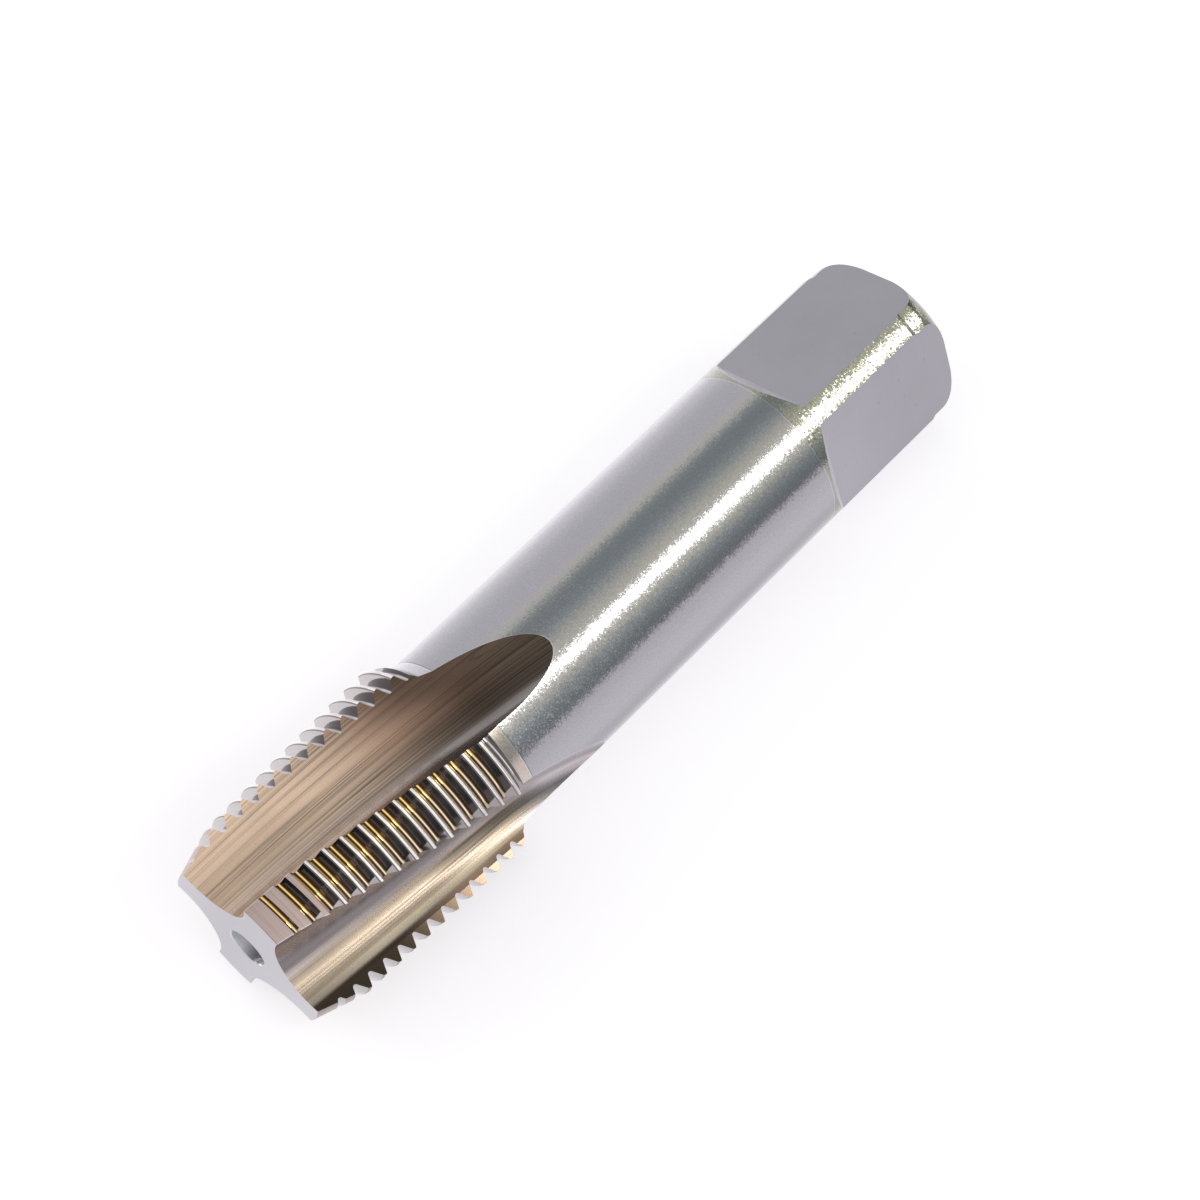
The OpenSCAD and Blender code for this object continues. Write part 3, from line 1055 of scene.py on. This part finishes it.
# The floor glows to the steel in these panels, darker in a strip beside the tap as a painted
# shadow
FLOOR_PANELS = (
    (0.00, 0.68), (0.25, 0.72), (0.375, 0.79), (0.415, 0.78), (0.435, 0.66), (0.447, 0.66),
    (0.458, 0.80), (0.475, 0.98), (0.495, 0.90), (0.54, 0.82), (0.565, 0.92), (0.59, 1.02),
    (0.625, 1.12), (0.65, 1.08), (0.695, 1.0), (0.75, 0.92), (1.00, 0.80),
)
SIDE_PANELS = (
    (0.00, 0.76, PALE), (0.25, 0.74, PALE), (0.30, 0.64, PALE), (0.375, 0.63, PALE),
    (0.405, 0.68, WARM), (0.43, 0.34, COOL), (0.455, 0.28, COOL), (0.49, 0.30, COOL),
    (0.515, 0.40, COOL), (0.54, 0.52, WARM), (0.565, 0.62, WARM), (0.585, 0.62, WARM),
    (0.595, 0.72, WARM), (0.599, 2.4, WARM), (0.607, 2.4, WARM), (0.611, 0.95, WARM),
    (0.635, 0.72, WARM), (0.655, 0.54, WARM), (0.675, 0.37, COOL), (0.70, 0.27, COOL),
    (0.735, 0.20, COOL), (0.755, 0.25, PALE), (0.775, 0.58, PALE), (0.88, 0.74, PALE),
)
FRONT_PANELS = (
    (0.25, 1.10), (0.30, 0.95), (0.34, 0.76), (0.40, 0.74), (0.46, 0.76), (0.51, 0.98),
    (0.56, 1.06), (0.62, 1.10), (0.66, 1.3), (0.78, 1.3), (0.82, 0.8),
)


def resting_plane(x, z):
    """A point and the slope of the floor on which both the thread and the shank lie."""
    front = x < THREAD_END
    rear = (x > SHANK_STRETCH[0]) & (x < SHANK_STRETCH[1])
    low = z[front].argmin()
    for _ in range(8):
        at, level = x[front][low], z[front][low]
        slope = ((z[rear] - level) / (x[rear] - at)).min()
        low = (z[front] - slope * (x[front] - at)).argmin()
    return Vector((x[front][low], 0.0, z[front][low])), slope


def floor_material(settings):
    """Pale floor: a haze over the soft shadow to the camera, and soft glowing panels to the steel,
    with a painted shadow beside the tap.
    """
    material = bpy.data.materials.new("pale_floor")
    n = Nodes(material)
    diffuse = n.node("ShaderNodeBsdfDiffuse", None, {"Color": (*settings.floor_color, 1.0)})
    haze = n.node("ShaderNodeEmission", None, {"Color": (*FLOOR_HAZE, 1.0), "Strength": 0.51})
    seen = n.node("ShaderNodeAddShader", None, {0: diffuse, 1: haze})
    y = n.parts(n.node("ShaderNodeTexCoord", out="Object"))[1]
    stops = [(place, (v, v * 0.975, v * 1.015)) for place, v in FLOOR_PANELS]
    glow = n.node("ShaderNodeValToRGB", {"stops": stops}, {"Fac": y / FLOOR_SPAN + 0.5})
    panels = n.node("ShaderNodeEmission", None, {"Color": glow, "Strength": 1.0})
    camera_ray = n.node("ShaderNodeLightPath", out="Is Camera Ray")
    surface = n.node("ShaderNodeMixShader", None, {"Fac": camera_ray, 1: panels, 2: seen})
    n.node("ShaderNodeOutputMaterial", None, {"Surface": surface})
    return material


def soft_box(name, way, size, power, color):
    """One rectangular soft light that looks at the tap from a direction, long side along it."""
    light = bpy.data.lights.new(name, "AREA")
    light.shape = "RECTANGLE"
    light.size, light.size_y = size
    light.energy = power
    light.color = color
    made = add_object(name, light)
    back = Vector(way).normalized()
    made.location = LIT_POINT + back * LIGHT_DISTANCE
    along = Vector((1.0, 0.0, 0.0))
    along = (along - back * along.dot(back)).normalized()
    turned_to = Matrix((along, back.cross(along), back)).transposed()
    made.rotation_mode = "QUATERNION"
    made.rotation_quaternion = turned_to.to_quaternion()


def studio_light(scene):
    """White to the camera, and soft panels around the tap's axis to everything else."""
    world = bpy.data.worlds.new("studio")
    scene.world = world
    n = Nodes(world)
    x, y, z = n.parts(n.node("ShaderNodeTexCoord", out="Generated"))
    turn = n.math("FLOORED_MODULO", n.math("ARCTAN2", y, -z) / (2 * math.pi), 1.0)
    stops = [(place, tuple(value * part for part in tone)) for place, value, tone in SIDE_PANELS]
    panels = n.node("ShaderNodeValToRGB", {"stops": stops}, {"Fac": turn})
    stops = [(place, (value, value * 0.99, value)) for place, value in FRONT_PANELS]
    front = n.node("ShaderNodeValToRGB", {"stops": stops}, {"Fac": turn})
    front = n.times(front, 1.0 - 0.7 * n.fall(x, -0.62, -0.40) * n.fall(y, -0.2, 0.1))
    panels = n.mix(front, panels, n.band(x, 0.19, 0.30))
    beyond = n.band(x, 0.58, 0.72) * n.band(z, 0.25, 0.45)
    panels = n.times(panels, 1.0 - beyond * 0.75)
    light = n.node("ShaderNodeBackground", None, {"Color": panels, "Strength": 1.0})
    white = n.node("ShaderNodeBackground", None, {"Color": (1.0, 1.0, 1.0, 1.0), "Strength": 1.0})
    camera_ray = n.node("ShaderNodeLightPath", out="Is Camera Ray")
    both = n.node("ShaderNodeMixShader", None, {"Fac": camera_ray, 1: light, 2: white})
    n.node("ShaderNodeOutputWorld", None, {"Surface": both})


def add_camera(settings):
    """The camera of the main view."""
    lens = bpy.data.cameras.new("camera")
    lens.lens = settings.lens
    lens.sensor_width = 36.0
    lens.clip_start, lens.clip_end = 0.01, 20.0
    camera = add_object("camera", lens)
    camera.location = settings.camera_place
    look = (Vector(settings.camera_aim) - Vector(settings.camera_place)).normalized()
    aimed = look.to_track_quat("-Z", "Y").to_matrix()
    rolled = aimed @ Matrix.Rotation(settings.camera_roll, 3, "Z")
    camera.rotation_mode = "QUATERNION"
    camera.rotation_quaternion = rolled.to_quaternion()
    return camera


class BuildStage(bpy.types.Operator):
    """Adds the floor, the soft light and the camera"""

    bl_idname = "tap.build_stage"
    bl_label = "Stage"

    def execute(self, context):
        scene = context.scene
        settings = scene.tap_stage
        tap = bpy.data.objects["tap_steel"]
        x, _, z = read(tap.data.vertices, "co", 3, float).T
        foot, slope = resting_plane(x, z)
        mesh = bpy.data.meshes.new("floor")
        corners = []
        for x, y in ((-1, -1), (1, -1), (1, 1), (-1, 1)):
            x, y = x * FLOOR_HALF, y * FLOOR_HALF
            corners.append((x, y, foot.z + slope * (x - foot.x)))
        mesh.from_pydata(corners, [], [range(4)])
        mesh.materials.append(floor_material(settings))
        add_object("floor", mesh)

        for name, way, size, power in (
            ("key", (0.5, -0.56, 0.69), (0.30, 0.11), settings.key_power),
            ("fill", (-0.5, 0.6, 0.65), (0.16, 0.16), settings.fill_power),
        ):
            soft_box(name, way, size, power, settings.light_color)
        studio_light(scene)
        scene.camera = add_camera(settings)
        scene.view_settings.view_transform = "Standard"
        return {"FINISHED"}


class TapPanel(bpy.types.Panel):
    """Lists the sizes, finishes and steps of the tap"""

    bl_idname = "VIEW3D_PT_thread_tap"
    bl_label = "Thread tap"
    bl_space_type = "VIEW_3D"
    bl_region_type = "UI"
    bl_category = "Tap"

    def draw(self, context):
        scene = context.scene
        for name, kind in GROUPS.items():
            box = self.layout.box()
            box.label(text=kind.__doc__)
            for setting_name in kind.__annotations__:
                box.prop(getattr(scene, name), setting_name)
        self.layout.operator(BuildTap.bl_idname)
        self.layout.operator(BuildStage.bl_idname)


GROUPS = {"tap_sizes": TapSizes, "tap_finish": TapFinish, "tap_stage": StageSettings}
CLASSES = (*GROUPS.values(), BuildTap, BuildStage, TapPanel)


def register():
    """Makes the classes and their settings known."""
    for made in CLASSES:
        bpy.utils.register_class(made)
    for name, kind in GROUPS.items():
        setattr(bpy.types.Scene, name, bpy.props.PointerProperty(type=kind))


def unregister():
    """Takes the classes and their settings away."""
    for name in GROUPS:
        delattr(bpy.types.Scene, name)
    for made in reversed(CLASSES):
        bpy.utils.unregister_class(made)


def main():
    """Builds the tap and its stage."""
    register()
    bpy.ops.tap.build_tap()
    bpy.ops.tap.build_stage()


if __name__ == "__main__":
    main()
